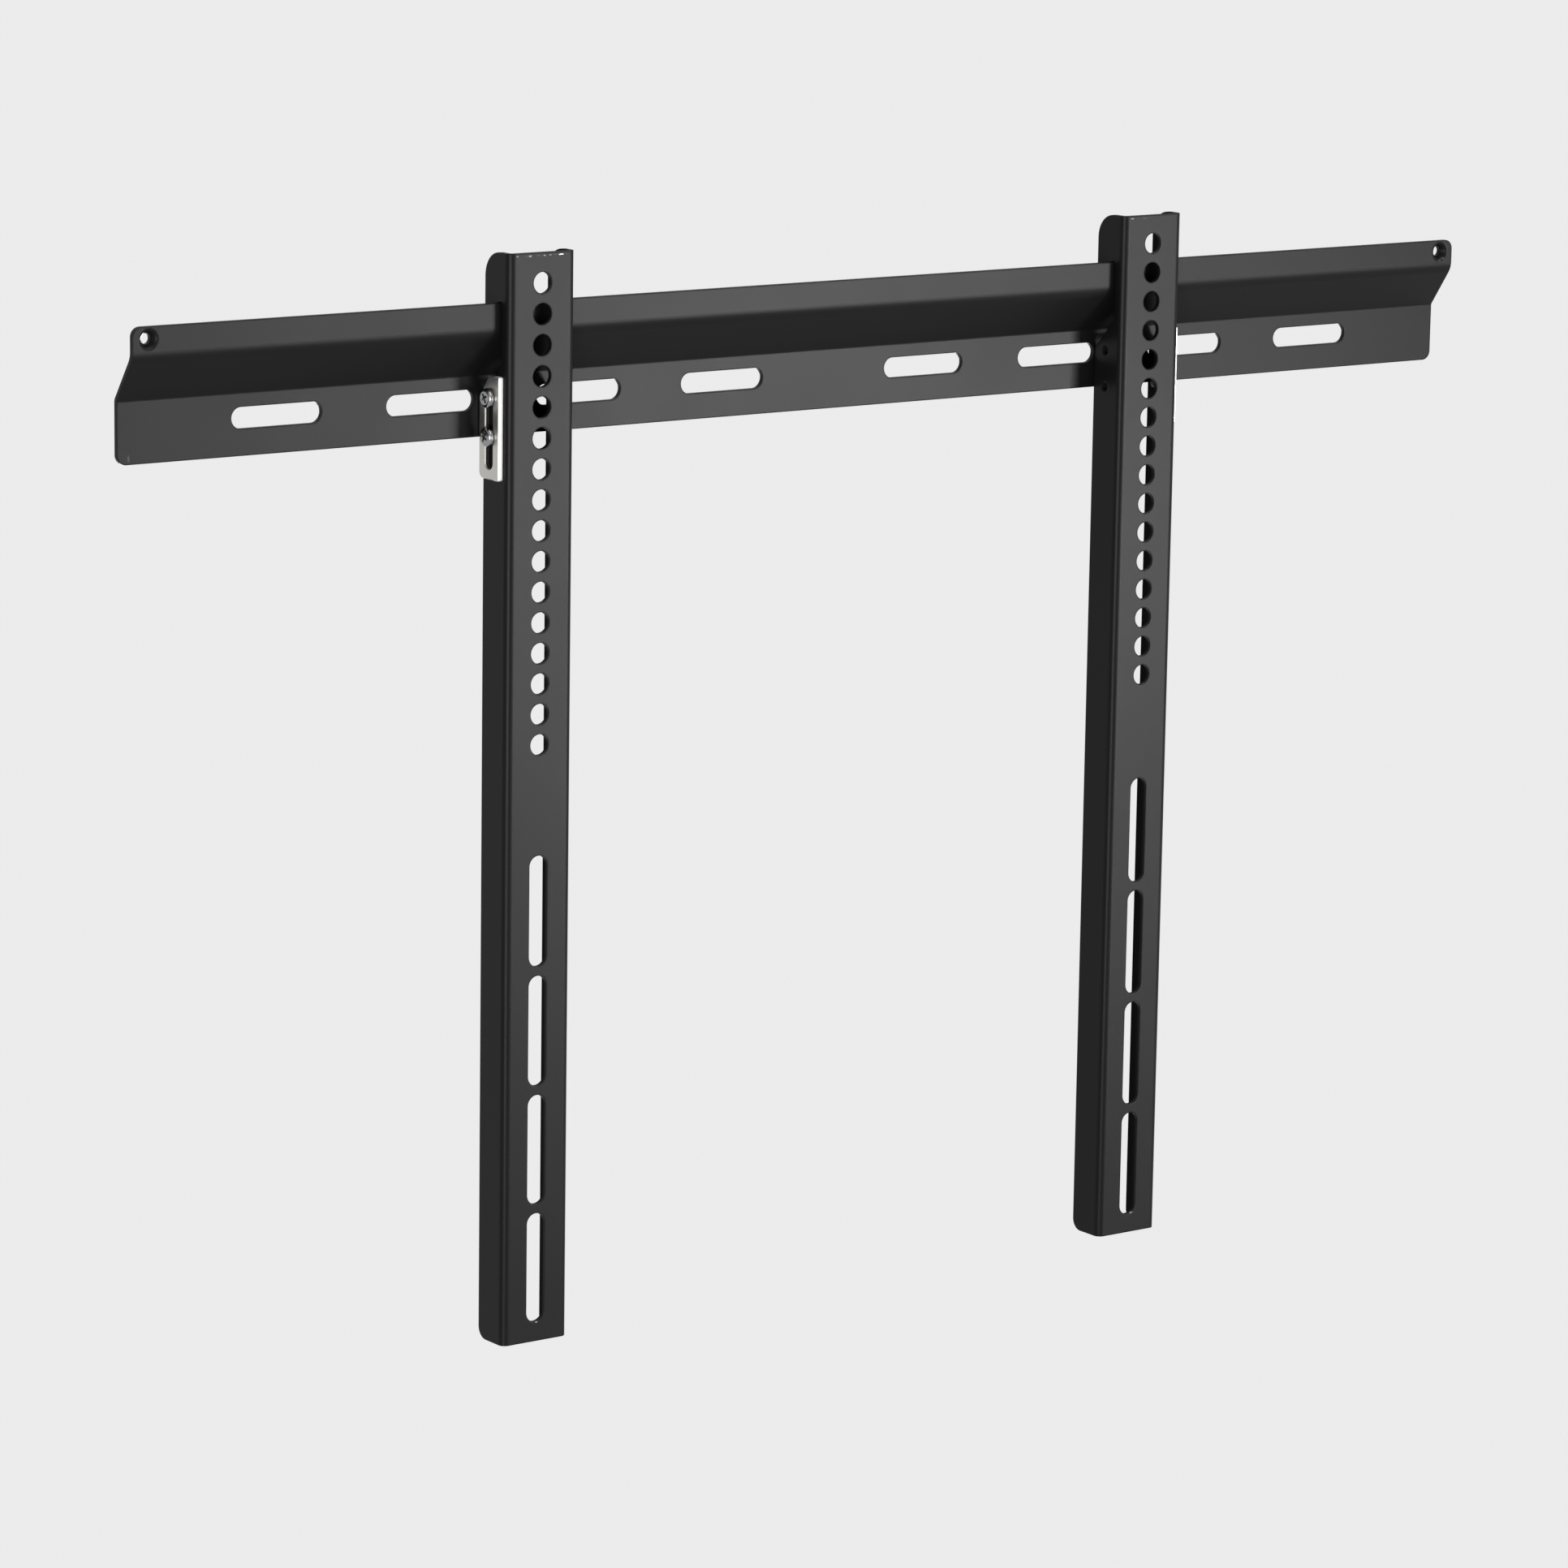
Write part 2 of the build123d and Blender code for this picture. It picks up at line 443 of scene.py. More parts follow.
def new_material(name: str) -> tuple[bpy.types.Material, NodeSheet, bpy.types.Node]:
    """Starts a material.

    Args:
        name: The material's name.

    Returns:
        The material, its sheet and its Principled shader.
    """
    material = bpy.data.materials.new(name)
    material.use_nodes = True
    sheet = NodeSheet(material.node_tree)
    return material, sheet, material.node_tree.nodes["Principled BSDF"]


@dataclass(frozen=True)
class PowderCoat:
    """Satin black powder coat, worn through in a few places."""

    effects: SharedEffects
    colour: Triple = (0.006, 0.006, 0.0062)
    tone_share: float = 0.15
    roughness: float = 0.36
    roughness_share: float = 0.03
    specular: float = 0.09
    peel_size: float = 0.8 * MM
    peel_depth: float = 0.012 * MM
    cloud_size: float = 60 * MM
    edge_radius: float = 0.8 * MM
    edge_and_highlight_colour: Triple = (0.008, 0.008, 0.0082)
    chip_depth: float = 0.04 * MM
    chip_roughness: float = 0.6
    inner_shade_colour: Triple = (0.003, 0.003, 0.0031)
    inner_roughness: float = 0.85

    def material(
        self, name: str, marks: Sequence[Mark] = (), hollow: Hollow | None = None
    ) -> bpy.types.Material:
        """Makes the coat with its marks.

        Args:
            name: The material's name.
            marks: Where it is worn.
            hollow: Where it is thin and dull, and darkened by painted shade.

        Returns:
            The material.
        """
        material, sheet, shader = new_material(name)
        spot = sheet.add("TexCoord").outputs["Object"]
        grain = sheet.place(
            self.effects.grain,
            {"Vector": spot, "Grain Size": self.peel_size, "Cloud Size": self.cloud_size},
        ).outputs
        edges = sheet.place(self.effects.soft_edges, {"Radius": self.edge_radius}).outputs
        deep = tuple(c * (1 - self.tone_share) for c in self.colour)
        light = tuple(c * (1 + self.tone_share) for c in self.colour)
        colour = sheet.mix(grain["Cloud"], rgba(deep), rgba(light))
        # Edges take a slightly paler colour: partly thinner coat, partly a painted highlight along
        # them.
        colour = sheet.mix(edges["Edge"], colour, rgba(self.edge_and_highlight_colour))
        rough = sheet.around(grain["Cloud"], self.roughness, self.roughness_share)
        # Inside the channel: duller powder, and a darker colour that is painted shade.
        if hollow is not None:
            inside = hollow.mask(sheet, spot)
            colour = sheet.mix(inside, colour, rgba(self.inner_shade_colour))
            rough = sheet.blend(inside, rough, self.inner_roughness)
        metal: Any = None
        for mark in marks:
            inputs = {"Vector": spot, "Place": mark.place, "Reach": mark.reach}
            mask = sheet.place(self.effects.mark, inputs).outputs["Mask"]
            colour = sheet.mix(mask, colour, rgba(mark.wear.colour))
            if mark.wear.metal:
                metal = mask if metal is None else sheet.math("MAXIMUM", metal, mask)
        height = sheet.math("MULTIPLY", grain["Grain"], self.peel_depth)
        if metal is not None:
            height = sheet.math("SUBTRACT", height, sheet.math("MULTIPLY", metal, self.chip_depth))
            rough = sheet.blend(metal, rough, self.chip_roughness)
            sheet.fill(shader, {"Metallic": metal})
        look = {"Base Color": colour, "Roughness": rough, "Specular IOR Level": self.specular}
        sheet.fill(shader, {**look, "Normal": sheet.bumped(height, edges["Normal"])})
        return material


@dataclass(frozen=True)
class BrushedSteel:
    """Satin stainless sheet, brushed along its length, with bright sheared edges, their brightness
    partly a painted highlight.
    """

    effects: SharedEffects
    colour: Triple = (0.56, 0.55, 0.52)
    edge_and_highlight_colour: Triple = (0.8, 0.79, 0.76)
    burnished_shade_colour: Triple = (0.19, 0.186, 0.172)
    torn_shade_colour: Triple = (0.09, 0.09, 0.087)
    roughness: float = 0.38
    roughness_share: float = 0.07
    line_width: float = 0.12 * MM
    line_length: float = 12 * MM
    line_depth: float = 0.003 * MM
    line_dulling: float = 0.88
    cloud_size: float = 9 * MM
    edge_radius: float = 0.15 * MM
    cloud_share: float = 0.5
    face_lean: float = 0.85
    sheared_lean: float = 0.65
    sheared_roughness: float = 0.62
    burnish_and_shade_depth: float = 0.55 * MM
    slot_reach: float = 3.3 * MM

    def material(
        self, name: str, outer_face: float, outward: int, slot_middle: float
    ) -> bpy.types.Material:
        """Makes the brushed sheet.

        The brushing is noise on coordinates that are drawn out along Z, the plate's length.  Faces
        that look away from X, across the sheet, are sheared: rougher, with no brushing, and paler,
        which is partly a painted highlight, as on the rounded edges.  In the punched slot they are
        duller, and darker below the depth that the punch burnished, where the sheet tore; this
        darkness of the slot's walls is partly painted shade.

        Args:
            name: The material's name.
            outer_face: Place of the plate's outer face along X.
            outward: Sign along X of the way that face looks.
            slot_middle: Place of the slot's middle line along Y.

        Returns:
            The material.
        """
        material, sheet, shader = new_material(name)
        coordinates = sheet.add("TexCoord").outputs
        spot = coordinates["Object"]
        across = sheet.add("SeparateXYZ", {"Vector": coordinates["Normal"]}).outputs["X"]
        lean = sheet.math("ABSOLUTE", across)
        sheared = sheet.ramp(lean, self.face_lean, self.sheared_lean)
        place = sheet.add("SeparateXYZ", {"Vector": spot}).outputs
        # Deeper than the burnished band the slot wall darkens: partly the torn band, partly painted
        # shade inside the slot.
        depth = sheet.math("MULTIPLY", sheet.math("SUBTRACT", outer_face, place["X"]), outward)
        aside = sheet.math("ABSOLUTE", sheet.math("SUBTRACT", place["Y"], slot_middle))
        torn_and_shaded = sheet.math("GREATER_THAN", depth, self.burnish_and_shade_depth)
        punched_and_shaded = sheet.mix(torn_and_shaded, rgba(self.burnished_shade_colour), rgba(self.torn_shade_colour))
        in_slot = sheet.math("LESS_THAN", aside, self.slot_reach)
        stretch = (1.0, 1.0, self.line_width / self.line_length)
        drawn = sheet.add("Mapping", {"Vector": spot, "Scale": stretch}).outputs["Vector"]
        grain = self.effects.grain
        brushing = sheet.place(grain, {"Vector": drawn, "Grain Size": self.line_width})
        lines = brushing.outputs["Grain"]
        patches = sheet.place(grain, {"Vector": spot, "Cloud Size": self.cloud_size})
        cloud = patches.outputs["Cloud"]
        edges = sheet.place(self.effects.soft_edges, {"Radius": self.edge_radius}).outputs
        dull = tuple(c * self.line_dulling for c in self.colour)
        face = sheet.mix(lines, rgba(dull), rgba(self.colour))
        # Sheared faces and rounded edges take the pale edge colour: paler steel, partly a painted
        # highlight.
        bright = sheet.math("MAXIMUM", sheared, edges["Edge"])
        # In the slot the walls take the punched colours instead, darker partly as painted shade.
        wall = sheet.mix(in_slot, rgba(self.edge_and_highlight_colour), punched_and_shaded)
        colour = sheet.mix(bright, face, wall)
        uneven = sheet.blend(self.cloud_share, lines, cloud)
        brushed = sheet.around(uneven, self.roughness, self.roughness_share)
        rough = sheet.blend(sheared, brushed, self.sheared_roughness)
        flat = sheet.math("SUBTRACT", 1.0, sheared)
        height = sheet.math("MULTIPLY", sheet.math("MULTIPLY", lines, flat), self.line_depth)
        look = {"Base Color": colour, "Roughness": rough, "Metallic": 1.0}
        sheet.fill(shader, {**look, "Normal": sheet.bumped(height, edges["Normal"])})
        return material


@dataclass(frozen=True)
class BrightZinc:
    """Bright zinc plate on small turned steel pieces."""

    effects: SharedEffects
    colour: Triple = (0.36, 0.36, 0.362)
    dull_colour: Triple = (0.23, 0.232, 0.238)
    shank_shade_colour: Triple = (0.03, 0.03, 0.029)
    roughness: float = 0.2
    roughness_share: float = 0.06
    grain_size: float = 0.15 * MM
    grain_depth: float = 0.002 * MM
    cloud_size: float = 2.5 * MM
    edge_radius: float = 0.12 * MM

    def material(self, name: str, seat: float, outward: int) -> bpy.types.Material:
        """Makes the plated finish, dark with painted shade on the thread below the head's seat.

        Args:
            name: The material's name.
            seat: Place of the head's seat along X.
            outward: Sign along X of the way that the head looks.

        Returns:
            The material.
        """
        material, sheet, shader = new_material(name)
        spot = sheet.add("TexCoord").outputs["Object"]
        grain = sheet.place(
            self.effects.grain,
            {"Vector": spot, "Grain Size": self.grain_size, "Cloud Size": self.cloud_size},
        ).outputs
        edges = sheet.place(self.effects.soft_edges, {"Radius": self.edge_radius}).outputs
        colour = sheet.mix(grain["Cloud"], rgba(self.dull_colour), rgba(self.colour))
        along = sheet.add("SeparateXYZ", {"Vector": spot}).outputs["X"]
        below = sheet.math("MULTIPLY", sheet.math("SUBTRACT", seat, along), outward)
        # Below the head's seat the thread is darkened as painted shade.
        shaded_shank = sheet.math("GREATER_THAN", below, self.edge_radius)
        colour = sheet.mix(shaded_shank, colour, rgba(self.shank_shade_colour))
        rough = sheet.around(grain["Cloud"], self.roughness, self.roughness_share)
        height = sheet.math("MULTIPLY", grain["Grain"], self.grain_depth)
        look = {"Base Color": colour, "Roughness": rough, "Metallic": 1.0}
        sheet.fill(shader, {**look, "Normal": sheet.bumped(height, edges["Normal"])})
        return material


def bring_in(name: str, data: bpy.types.ID) -> bpy.types.Object:
    """Puts a mesh, a light or a camera into the scene.

    Args:
        name: The new object's name.
        data: The mesh, light or camera.

    Returns:
        The new object.
    """
    thing = bpy.data.objects.new(name, data)
    bpy.context.scene.collection.objects.link(thing)
    return thing


def skin_rings(
    name: str,
    rings: np.ndarray,
    start: np.ndarray | None = None,
    end: np.ndarray | None = None,
    looped: bool = False,
    sharp_angle: float = math.radians(32),
) -> bpy.types.Object:
    """Joins rings of points into one closed skin.

    Point j of ring i joins its neighbours on the ring and point j of the next ring.  Rings run
    anticlockwise about the way they follow, so that the skin faces outwards.  The ends close in a
    point each, or the last ring joins the first.

    Args:
        name: The piece's name.
        rings: Points as an array of rings by points by 3.
        start: The point that closes the first ring.
        end: The point that closes the last ring.
        looped: Whether the last ring joins the first instead.
        sharp_angle: Edges that turn by more than this stay sharp.

    Returns:
        The new object.
    """
    count, columns = rings.shape[:2]
    index = np.arange(count * columns).reshape(count, columns)
    here = index if looped else index[:-1]
    there = np.roll(index, -1, axis=0) if looped else index[1:]
    corners = [here, np.roll(here, -1, axis=1), np.roll(there, -1, axis=1), there]
    faces = np.stack(corners, axis=-1).reshape(-1, 4).tolist()
    points = [rings.reshape(-1, 3)]
    for pole, ring, order in ((start, index[0], [0, 2, 1]), (end, index[-1], [0, 1, 2])):
        if pole is None:
            continue
        tip = np.full(columns, sum(len(p) for p in points))
        faces += np.column_stack([tip, ring, np.roll(ring, -1)])[:, order].tolist()
        points.append(pole.reshape(1, 3))
    mesh = bpy.data.meshes.new(name)
    mesh.from_pydata(np.vstack(points).tolist(), [], faces)
    mesh.shade_smooth()
    mesh.set_sharp_from_angle(angle=sharp_angle)
    return bring_in(name, mesh)


def turned(radius: np.ndarray, along: np.ndarray, angle: np.ndarray) -> np.ndarray:
    """Rings of a surface that turns about an axis.

    The point at each angle stands at its radius from the axis: (along, radius cos, radius sin).

    Args:
        radius: One radius for each ring, or for each ring and angle.
        along: One place on the axis for each ring.
        angle: The angles of a ring's points.

    Returns:
        The points as an array of rings by points by 3.
    """
    reach = np.broadcast_to(radius.reshape(len(along), -1), (len(along), len(angle)))
    place = np.broadcast_to(along[:, None], reach.shape)
    return np.stack([place, reach * np.cos(angle), reach * np.sin(angle)], axis=-1)


@dataclass(frozen=True)
class ThreadForm:
    """Coarse right-hand thread of the lock screws and of the holes that take them."""

    pitch: float = 0.7 * MM
    screw_radius: float = 1.98 * MM
    depth: float = 0.36 * MM
    wave_middle: float = 0.5
    wave_height: float = 0.85
    rows_per_pitch: int = 10

    @property
    def root(self) -> float:
        """Radius at the bottom of a screw's thread."""
        return self.screw_radius - self.depth

    def rows(self, start: float, end: float) -> np.ndarray:
        """Places along a stretch of thread, close enough to draw its section."""
        count = round((end - start) / self.pitch * self.rows_per_pitch)
        return np.linspace(start, end, max(2, count))

    def crest(self, along: np.ndarray, angle: np.ndarray) -> np.ndarray:
        """How far the thread stands above its root at each place and angle.

        It climbs one pitch in each turn.  Its section is a wave cut off flat at root and crest.

        Args:
            along: Places on the axis.
            angle: Angles about the axis.

        Returns:
            Heights as an array of places by angles.
        """
        phase = along[:, None] / self.pitch * FULL_TURN - angle[None, :]
        wave = self.wave_middle + self.wave_height * np.cos(phase)
        return self.depth * np.clip(wave, 0.0, 1.0)


@dataclass(frozen=True)
class PanScrew:
    """Pan-head screw with a cross recess.  Its axis starts under the head and runs outwards."""

    thread: ThreadForm
    head_height: float = 2.2 * MM
    rim_height: float = 0.85 * MM
    crown_reach: float = 1.45 * MM
    dome: float = 0.07 * MM
    edge: float = 0.15 * MM
    neck: float = 0.25 * MM
    tip_radius: float = 1.3 * MM
    recess_span: float = 4.4 * MM
    recess_width: float = 1.15 * MM
    recess_depth: float = 1.35 * MM
    recess_lip: float = 0.05 * MM
    end_taper: float = math.radians(24)
    side_taper: float = math.radians(7)
    drill_point: float = 0.2 * MM
    floor_share: float = 0.5
    top_shares: Triple = (0.35, 0.7, 1.0)
    side_steps: int = 6
    end_steps: int = 5
    crown_steps: int = 9

    def cross_outline(self, span: float, width: float) -> np.ndarray:
        """Outline of the cross recess, run anticlockwise.

        One wing goes out along its lower side, across its end and back along its upper side, in
        even steps of angle about the middle.  Three quarter turns of it give the other wings.

        Args:
            span: From end to end of two opposite wings.
            width: Across a wing.

        Returns:
            Points as an array of points by 2.
        """
        corner = math.atan2(self.recess_width, self.recess_span)
        turn = np.linspace(math.pi / 4, corner, self.side_steps + 1)
        share = (1 / np.tan(turn) - 1) / (1 / math.tan(corner) - 1)
        reach = width / 2 + share * (span - width) / 2
        end_turn = np.linspace(-corner, corner, self.end_steps + 1)
        across = np.tan(end_turn) / math.tan(corner) * width / 2
        lower = np.column_stack([reach, np.full_like(reach, -width / 2)])[:-1]
        end = np.column_stack([np.full_like(across, span / 2), across])[:-1]
        upper = np.column_stack([reach, np.full_like(reach, width / 2)])[:0:-1]
        wing = np.vstack([lower, end, upper])
        quarter = np.arange(4) * math.pi / 2
        c, s = np.cos(quarter), np.sin(quarter)
        turns = np.moveaxis(np.array([[c, -s], [s, c]]), -1, 0)
        return np.einsum("kij,nj->kni", turns, wing).reshape(-1, 2)

    def shank(self, length: float, angle: np.ndarray) -> np.ndarray:
        """Threaded shank from its tip to its plain neck.

        The radius is the root's plus the thread's height, kept inside a cone of 45 degrees at the
        tip and without thread on the neck.

        Args:
            length: From the tip to the head's seat.
            angle: The angles of a ring's points.

        Returns:
            Rings of points.
        """
        root = self.thread.root
        along = self.thread.rows(-length, -self.neck)
        radius = root + self.thread.crest(along, angle)
        cone = self.tip_radius + (along + length)
        run_out = root + np.clip(-along - self.neck, 0.0, self.thread.depth)
        return turned(np.minimum(radius, np.minimum(cone, run_out)[:, None]), along, angle)

    def head(self, head_radius: float, angle: np.ndarray) -> np.ndarray:
        """Outside of the head from its seat to the flat round the recess.

        The profile goes out along the seat, round a small edge, up the rim and over the crown,
        which is a quarter of an ellipse.

        Args:
            head_radius: Of the rim.
            angle: The angles of a ring's points.

        Returns:
            Rings of points.
        """
        bow = np.linspace(0.0, math.pi / 2, self.crown_steps)
        crown_height = self.head_height - self.dome - self.rim_height
        crown_radius = head_radius - self.crown_reach * (1 - np.cos(bow))
        crown_along = self.rim_height + crown_height * np.sin(bow)
        seat_radius = [self.thread.root, head_radius - self.edge, head_radius]
        radius = np.concatenate([seat_radius, crown_radius])
        along = np.concatenate([[0.0, 0.0, self.edge], crown_along])
        return turned(radius, along, angle)

    def recess(self, head_radius: float, outline: np.ndarray) -> np.ndarray:
        """Top of the head and the cross recess in it.

        Rings change step by step from the crown's circle to the cross on a shallow dome.  Then the
        cross narrows with its depth, more at the wings' ends than at their sides.

        Args:
            head_radius: Of the rim.
            outline: The cross at the top.

        Returns:
            Rings of points.
        """
        flat_radius = head_radius - self.crown_reach
        outwards = outline / np.linalg.norm(outline, axis=1, keepdims=True)
        lip = outline + self.recess_lip * outwards
        share = np.array(self.top_shares)[:, None, None]
        top = (1 - share) * flat_radius * outwards + share * lip
        bowed = self.head_height - self.dome * (np.linalg.norm(top, axis=2) / flat_radius) ** 2
        depth = np.array([self.recess_lip, self.recess_depth / 2, self.recess_depth])
        walls = np.stack(
            [
                self.cross_outline(
                    self.recess_span - 2 * d * math.tan(self.end_taper),
                    self.recess_width - 2 * d * math.tan(self.side_taper),
                )
                for d in depth
            ]
        )
        floor = walls[-1:] * self.floor_share
        sunk = np.concatenate([depth, [self.recess_depth + self.drill_point / 2]])
        flat = np.concatenate([top, walls, floor])
        level = np.repeat((self.head_height - sunk)[:, None], len(outline), axis=1)
        return np.dstack([np.concatenate([bowed, level]), flat])

    def build(
        self, name: str, seat: Triple, outward: int, length: float, head_radius: float, spin: float
    ) -> bpy.types.Object:
        """Builds one screw in its place.

        Args:
            name: The piece's name.
            seat: The middle of the head's seat.
            outward: Sign along X of the way that the head looks.
            length: From the tip to the seat.
            head_radius: Of the rim.
            spin: How far the screw is turned about its axis.

        Returns:
            The new object.
        """
        outline = self.cross_outline(self.recess_span, self.recess_width)
        angle = np.arctan2(outline[:, 1], outline[:, 0])
        head = self.head(head_radius, angle)
        recess = self.recess(head_radius, outline)
        rings = np.concatenate([self.shank(length, angle), head, recess])
        tip = np.array([-length, 0.0, 0.0])
        bottom = np.array([self.head_height - self.recess_depth - self.drill_point, 0.0, 0.0])
        place = screw_placement(seat, outward, spin)
        return skin_rings(name, place(rings), place(tip), place(bottom))


def screw_placement(
    seat: Triple, outward: int, spin: float = 0.0
) -> Callable[[np.ndarray], np.ndarray]:
    """The move that carries a turned piece from its own axis to its place.

    The piece is spun about its axis.  For a piece that looks along -X it is then turned half a
    turn about Z, so that a right-hand thread stays one.

    Args:
        seat: Where the axis starts.
        outward: Sign along X of the axis.
        spin: Turn about the axis.

    Returns:
        A function from an array of points to the same points in place.
    """
    c, s = math.cos(spin), math.sin(spin)
    turn = np.array([[1.0, 0.0, 0.0], [0.0, c, -s], [0.0, s, c]])
    half = np.diag([outward, outward, 1.0])
    return lambda points: points @ (half @ turn).T + np.array(seat)


@dataclass
class WallRail:
    """The folded rail that is fixed to the wall.

    Its scuffs are given in millimetres from the nearer end and from the nearer long edge.
    """

    coat: PowderCoat
    node: str = "wall_rail"
    sheet: float = 2 * MM
    stop_scuff_reach: Triple = (0.8 * MM, 1.2 * MM, 0.45 * MM)
    stop_scuffs: tuple[tuple[float, float, Wear], ...] = (
        (8.4, 9.1, Wear.DARK),
        (7.0, 9.0, Wear.RUBBED),
        (4.9, 8.1, Wear.RUBBED),
    )
    corner_scuff_reach: Triple = (0.45 * MM, 0.8 * MM, 1.3 * MM)
    corner_scuffs: tuple[tuple[float, float, Wear], ...] = (
        (5.8, 5.4, Wear.DARK),
        (5.0, 2.4, Wear.RUBBED),
    )

    def marks(self) -> list[Mark]:
        """Scuffs under the right end stop and at the lower left corner.

        Returns:
            The marks.
        """
        low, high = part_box(self.node)
        lower_flange = high.y - self.sheet
        under_stop = [
            Mark((high.x - aside * MM, low.y, high.z - down * MM), self.stop_scuff_reach, wear)
            for aside, down, wear in self.stop_scuffs
        ]
        reach = self.corner_scuff_reach
        at_corner = [
            Mark((low.x + aside * MM, lower_flange, low.z + up * MM), reach, wear)
            for aside, up, wear in self.corner_scuffs
        ]
        return under_stop + at_corner

    def dress(self) -> None:
        """Gives the rail its coat."""
        dress_node(self.node, self.coat.material("rail_coat", self.marks()))


@dataclass(frozen=True)
class Chip:
    """One chip in an arm's front face, in millimetres from the middle of its top edge."""

    across: float
    down: float
    half_width: float
    half_height: float
    wear: Wear


ARM_CHIPS = {
    Side.LEFT: (
        Chip(-12.2, 1.2, 0.5, 0.28, Wear.THIN),
        Chip(-7.8, 1.4, 0.7, 0.2, Wear.RUBBED),
        Chip(-6.0, 1.3, 0.75, 0.36, Wear.THIN),
        Chip(-2.0, 1.2, 1.6, 0.16, Wear.RUBBED),
        Chip(0.8, 1.25, 0.55, 0.24, Wear.THIN),
        Chip(3.5, 1.2, 0.6, 0.2, Wear.THIN),
        Chip(5.8, 1.15, 1.2, 0.14, Wear.RUBBED),
        Chip(8.7, 1.2, 1.1, 0.22, Wear.BARE),
        Chip(11.4, 1.1, 0.7, 0.14, Wear.RUBBED),
        Chip(0.5, 441.9, 0.55, 0.4, Wear.THIN),
    ),
    Side.RIGHT: (
        Chip(-11.6, 1.2, 0.7, 0.28, Wear.THIN),
        Chip(-4.7, 1.25, 1.2, 0.22, Wear.RUBBED),
        Chip(2.2, 441.3, 0.8, 0.35, Wear.THIN),
    ),
}


@dataclass
class HookArm:
    """One folded channel arm with its tapped spare holes."""

    side: Side
    coat: PowderCoat
    thread: ThreadForm
    sheet: float = 2 * MM
    hole_radius: float = 2.05 * MM
    seat_depth: float = 0.03 * MM
    collar_radius: float = 2.9 * MM
    collar_length: float = 1.3 * MM
    chip_reach_in: float = 0.6 * MM
    columns: int = 48

    @property
    def node(self) -> str:
        """Name of the arm's node and body."""
        return self.side.of("arm")

    def marks(self) -> list[Mark]:
        """Chips along the top front edge and at the lowest slot's rim.

        Returns:
            The marks.
        """
        low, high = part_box(self.node)
        middle = (low.x + high.x) / 2
        return [
            Mark(
                (middle + chip.across * MM, low.y, high.z - chip.down * MM),
                (chip.half_width * MM, self.chip_reach_in, chip.half_height * MM),
                chip.wear,
            )
            for chip in ARM_CHIPS[self.side]
        ]

    def hollow(self) -> Hollow:
        """Inside of the channel, up to the middle of its sheet."""
        low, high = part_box(self.node)
        half_sheet = self.sheet / 2
        return Hollow((low.x + high.x) / 2, (high.x - low.x) / 2 - half_sheet, low.y + half_sheet)

    def spare_thread(self, level: str) -> bpy.types.Object:
        """Drawn collar and thread of one spare hole in the inner flange.

        The outer wall lies just inside the sheet, and behind the sheet it steps out to the collar.
        The inner wall stands in from the hole by the thread's height, which fades out at both ends.

        Args:
            level: Which lock screw the hole lies across from.

        Returns:
            The new object.
        """
        low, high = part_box(self.node)
        screw_low, screw_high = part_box(self.side.of(f"{level}_lock_screw"))
        inward = -self.side.outward
        face = high.x if inward > 0 else low.x
        middle = (screw_low + screw_high) / 2
        angle = np.linspace(0.0, FULL_TURN, self.columns, endpoint=False)
        length = self.sheet + self.collar_length
        step = self.seat_depth - self.sheet
        along = self.thread.rows(-length, 0.0)
        fade = np.clip(np.minimum(-along, along + length) / self.thread.depth, 0.0, 1.0)
        height = self.thread.crest(along, angle) * fade[:, None]
        seated = self.hole_radius + self.seat_depth
        outer_radius = np.array([self.collar_radius, self.collar_radius, seated, seated])
        outer = turned(outer_radius, np.array([-length, step, step, 0.0]), angle)
        inner = turned(self.hole_radius - self.seat_depth - height, along, angle)[::-1]
        place = screw_placement((face, middle.y, middle.z), inward)
        name = self.side.of(f"arm_{level}_spare_thread")
        return skin_rings(name, place(np.concatenate([outer, inner])), looped=True)

    def dress(self) -> None:
        """Gives the arm its coat and its spare holes their threads."""
        material = self.coat.material(self.side.of("arm_coat"), self.marks(), self.hollow())
        dress_node(self.node, material)
        plain = self.coat.material(self.side.of("thread_coat"))
        for level in ("upper", "lower"):
            settle(self.spare_thread(level), self.node, plain)


